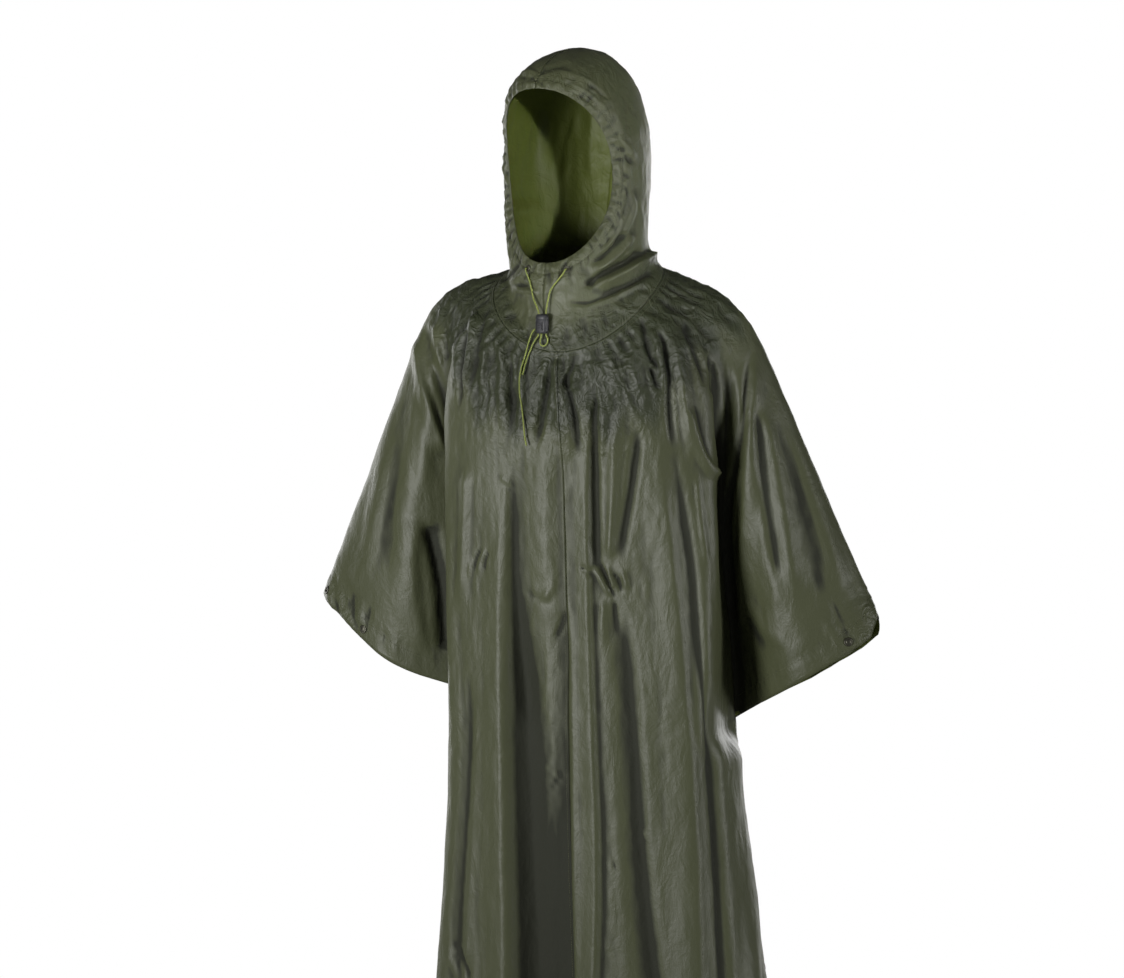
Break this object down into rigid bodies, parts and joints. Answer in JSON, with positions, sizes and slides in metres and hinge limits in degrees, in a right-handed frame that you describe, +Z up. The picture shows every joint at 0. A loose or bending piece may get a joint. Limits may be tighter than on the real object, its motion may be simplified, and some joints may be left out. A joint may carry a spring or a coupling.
{
  "type": "rain poncho",
  "caption": "Hooded rain poncho of thin olive coated nylon, worn with the hood up, wide open sleeves, a drawcord with a cord lock and snapped sides",
  "frame": {"origin": "between the tops of the wearer's shoulders, where the wearer holds the poncho up", "axes": "+Z up, the garment's front faces -Y, +X is the wearer's left"},
  "size_m": [0.865, 0.3359, 1.4482],
  "materials": {
    "cloth": "thin plain-woven coated nylon, semi-gloss, olive drab",
    "cord": "round braided cord, yellow-green",
    "lock": "dark grey moulded plastic",
    "trim": "dark bronzed metal snaps and eyelets"
  },
  "bodies": {
    "root": {"body_left": "cloth", "body_right": "cloth", "cord_left": "cord", "cord_lock": "lock", "cord_lock_button": "lock", "cord_long_end": "cord", "cord_loop": "cord", "cord_right": "cord", "cord_short_end": "cord", "eyelet_cuff_left": "trim", "eyelet_cuff_left_inside": "trim", "eyelet_cuff_right": "trim", "eyelet_cuff_right_inside": "trim", "eyelet_hood_left": "trim", "eyelet_hood_right": "trim", "hood_left": "cloth", "hood_right": "cloth", "snap_cuff_left_back": "trim", "snap_cuff_left_back_inside": "trim", "snap_cuff_left_front": "trim", "snap_cuff_left_front_inside": "trim", "snap_cuff_right_back": "trim", "snap_cuff_right_back_inside": "trim", "snap_cuff_right_front": "trim", "snap_cuff_right_front_inside": "trim", "snap_side_left_1": "trim", "snap_side_left_1_inside": "trim", "snap_side_left_1_joined": "trim", "snap_side_left_2": "trim", "snap_side_left_2_inside": "trim", "snap_side_left_2_joined": "trim", "snap_side_left_3": "trim", "snap_side_left_3_inside": "trim", "snap_side_left_3_joined": "trim", "snap_side_right_1": "trim", "snap_side_right_1_inside": "trim", "snap_side_right_1_joined": "trim", "snap_side_right_2": "trim", "snap_side_right_2_inside": "trim", "snap_side_right_2_joined": "trim", "snap_side_right_3": "trim", "snap_side_right_3_inside": "trim", "snap_side_right_3_joined": "trim"}
  },
  "joints": []
}
